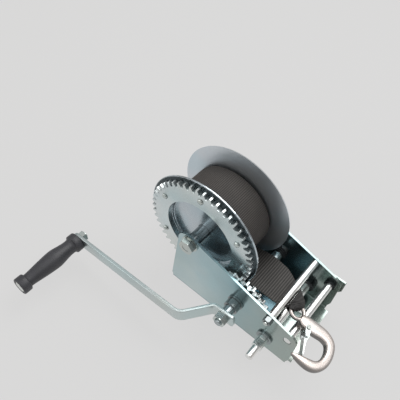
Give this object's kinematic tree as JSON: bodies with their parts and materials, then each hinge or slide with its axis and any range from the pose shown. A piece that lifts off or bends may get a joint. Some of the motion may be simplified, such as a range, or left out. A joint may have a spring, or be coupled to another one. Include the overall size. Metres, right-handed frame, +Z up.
{
  "type": "boat trailer winch",
  "caption": "Two-speed hand winch: open gears, a large flanged reel of dark webbing, a U-channel steel frame, a cranked arm with a turning grip and an eye hook.",
  "frame": {"origin": "on the underside of the base, straight below the drum's axis and midway between the side plates", "axes": "+X the way the strap runs out, -Y the crank side, +Z up"},
  "size_m": [0.3624, 0.2803, 0.1905],
  "materials": {
    "zinc": "zinc plated, satin",
    "bright": "bright plated",
    "black_steel": "blackened",
    "bush": "plated",
    "forged": "forged and plated",
    "plastic": "moulded black",
    "webbing": "woven polyester"
  },
  "bodies": {
    "frame": {"frame_channel": "zinc", "far_side_doubler": "zinc", "shaft_bush_near": "bush", "shaft_bush_far": "bush", "low_shaft_bush_near": "bush", "low_shaft_bush_far": "bush", "drum_bolt": "zinc", "drum_bolt_washer": "zinc", "drum_bolt_nut": "zinc", "tie_bolt": "zinc", "tie_sleeve": "bright", "tie_nut": "zinc", "front_guide_rod": "bright", "guide_rod_collar": "black_steel", "pawl_stud": "zinc", "strap_lead_out": "webbing", "strap_fold": "webbing"},
    "drum": {"drum_near_flange": "zinc", "drum_far_flange": "zinc", "drum_barrel": "zinc", "drum_hub_tube": "zinc", "ring_gear": "zinc", "gear_rivet_1": "zinc", "gear_rivet_2": "zinc", "gear_rivet_3": "zinc", "gear_rivet_4": "zinc", "gear_rivet_5": "zinc", "gear_rivet_6": "zinc", "strap_roll": "webbing"},
    "drive_shaft": {"drive_shaft": "bright", "drive_pinion": "zinc", "lay_gear": "zinc", "shaft_spacer": "black_steel", "shaft_spring": "black_steel", "ratchet_wheel": "zinc", "shaft_retaining_ring": "black_steel", "crank_arm": "zinc", "crank_nut": "zinc", "grip_bolt": "zinc", "grip_nut": "zinc"},
    "grip": {"grip": "plastic"},
    "low_shaft": {"low_gear_shaft": "bright", "low_gear_pinion": "zinc", "low_shaft_collar": "black_steel", "low_shaft_retaining_ring": "black_steel"},
    "pawl": {"pawl": "zinc"},
    "hook": {"hook": "forged", "latch_pin": "zinc", "strap_end_loop": "webbing"},
    "latch": {"hook_latch": "zinc"}
  },
  "joints": [
    {"name": "drum_spin", "type": "hinge", "parent": "frame", "child": "drum", "pos_m": [0, 0, 0.108], "axis": [0, 1, 0], "continuous": true},
    {"name": "drive_shaft_spin", "type": "hinge", "parent": "frame", "child": "drive_shaft", "pos_m": [0.07764, 0, 0.05681], "axis": [0, 1, 0], "continuous": true},
    {"name": "low_shaft_spin", "type": "hinge", "parent": "frame", "child": "low_shaft", "pos_m": [0.1271, 0, 0.02848], "axis": [0, 1, 0], "continuous": true},
    {"name": "grip_spin", "type": "hinge", "parent": "drive_shaft", "child": "grip", "pos_m": [-0.14344, -0.16, 0.03669], "axis": [0, 1, 0], "continuous": true},
    {"name": "pawl_swing", "type": "hinge", "parent": "frame", "child": "pawl", "pos_m": [0.10449, 0.06, 0.04131], "axis": [0, 1, 0], "range_deg": [-13, 20]},
    {"name": "hook_swing", "type": "hinge", "parent": "frame", "child": "hook", "pos_m": [0.12959, -0.012, 0.07283], "axis": [0, 1, 0], "range_deg": [-40, 0]},
    {"name": "latch_swing", "type": "hinge", "parent": "hook", "child": "latch", "pos_m": [0.16311, -0.02993, 0.06563], "axis": [0.2401, 0.1219, 0.9631], "range_deg": [0, 35], "stiffness_Nm_per_rad": 0.02, "springref_deg": -28.65}
  ],
  "couplings": [
    {"joint": "drive_shaft_spin", "follows": "drum_spin", "ratio": -4.1667},
    {"joint": "low_shaft_spin", "follows": "drum_spin", "ratio": 9.0278}
  ]
}
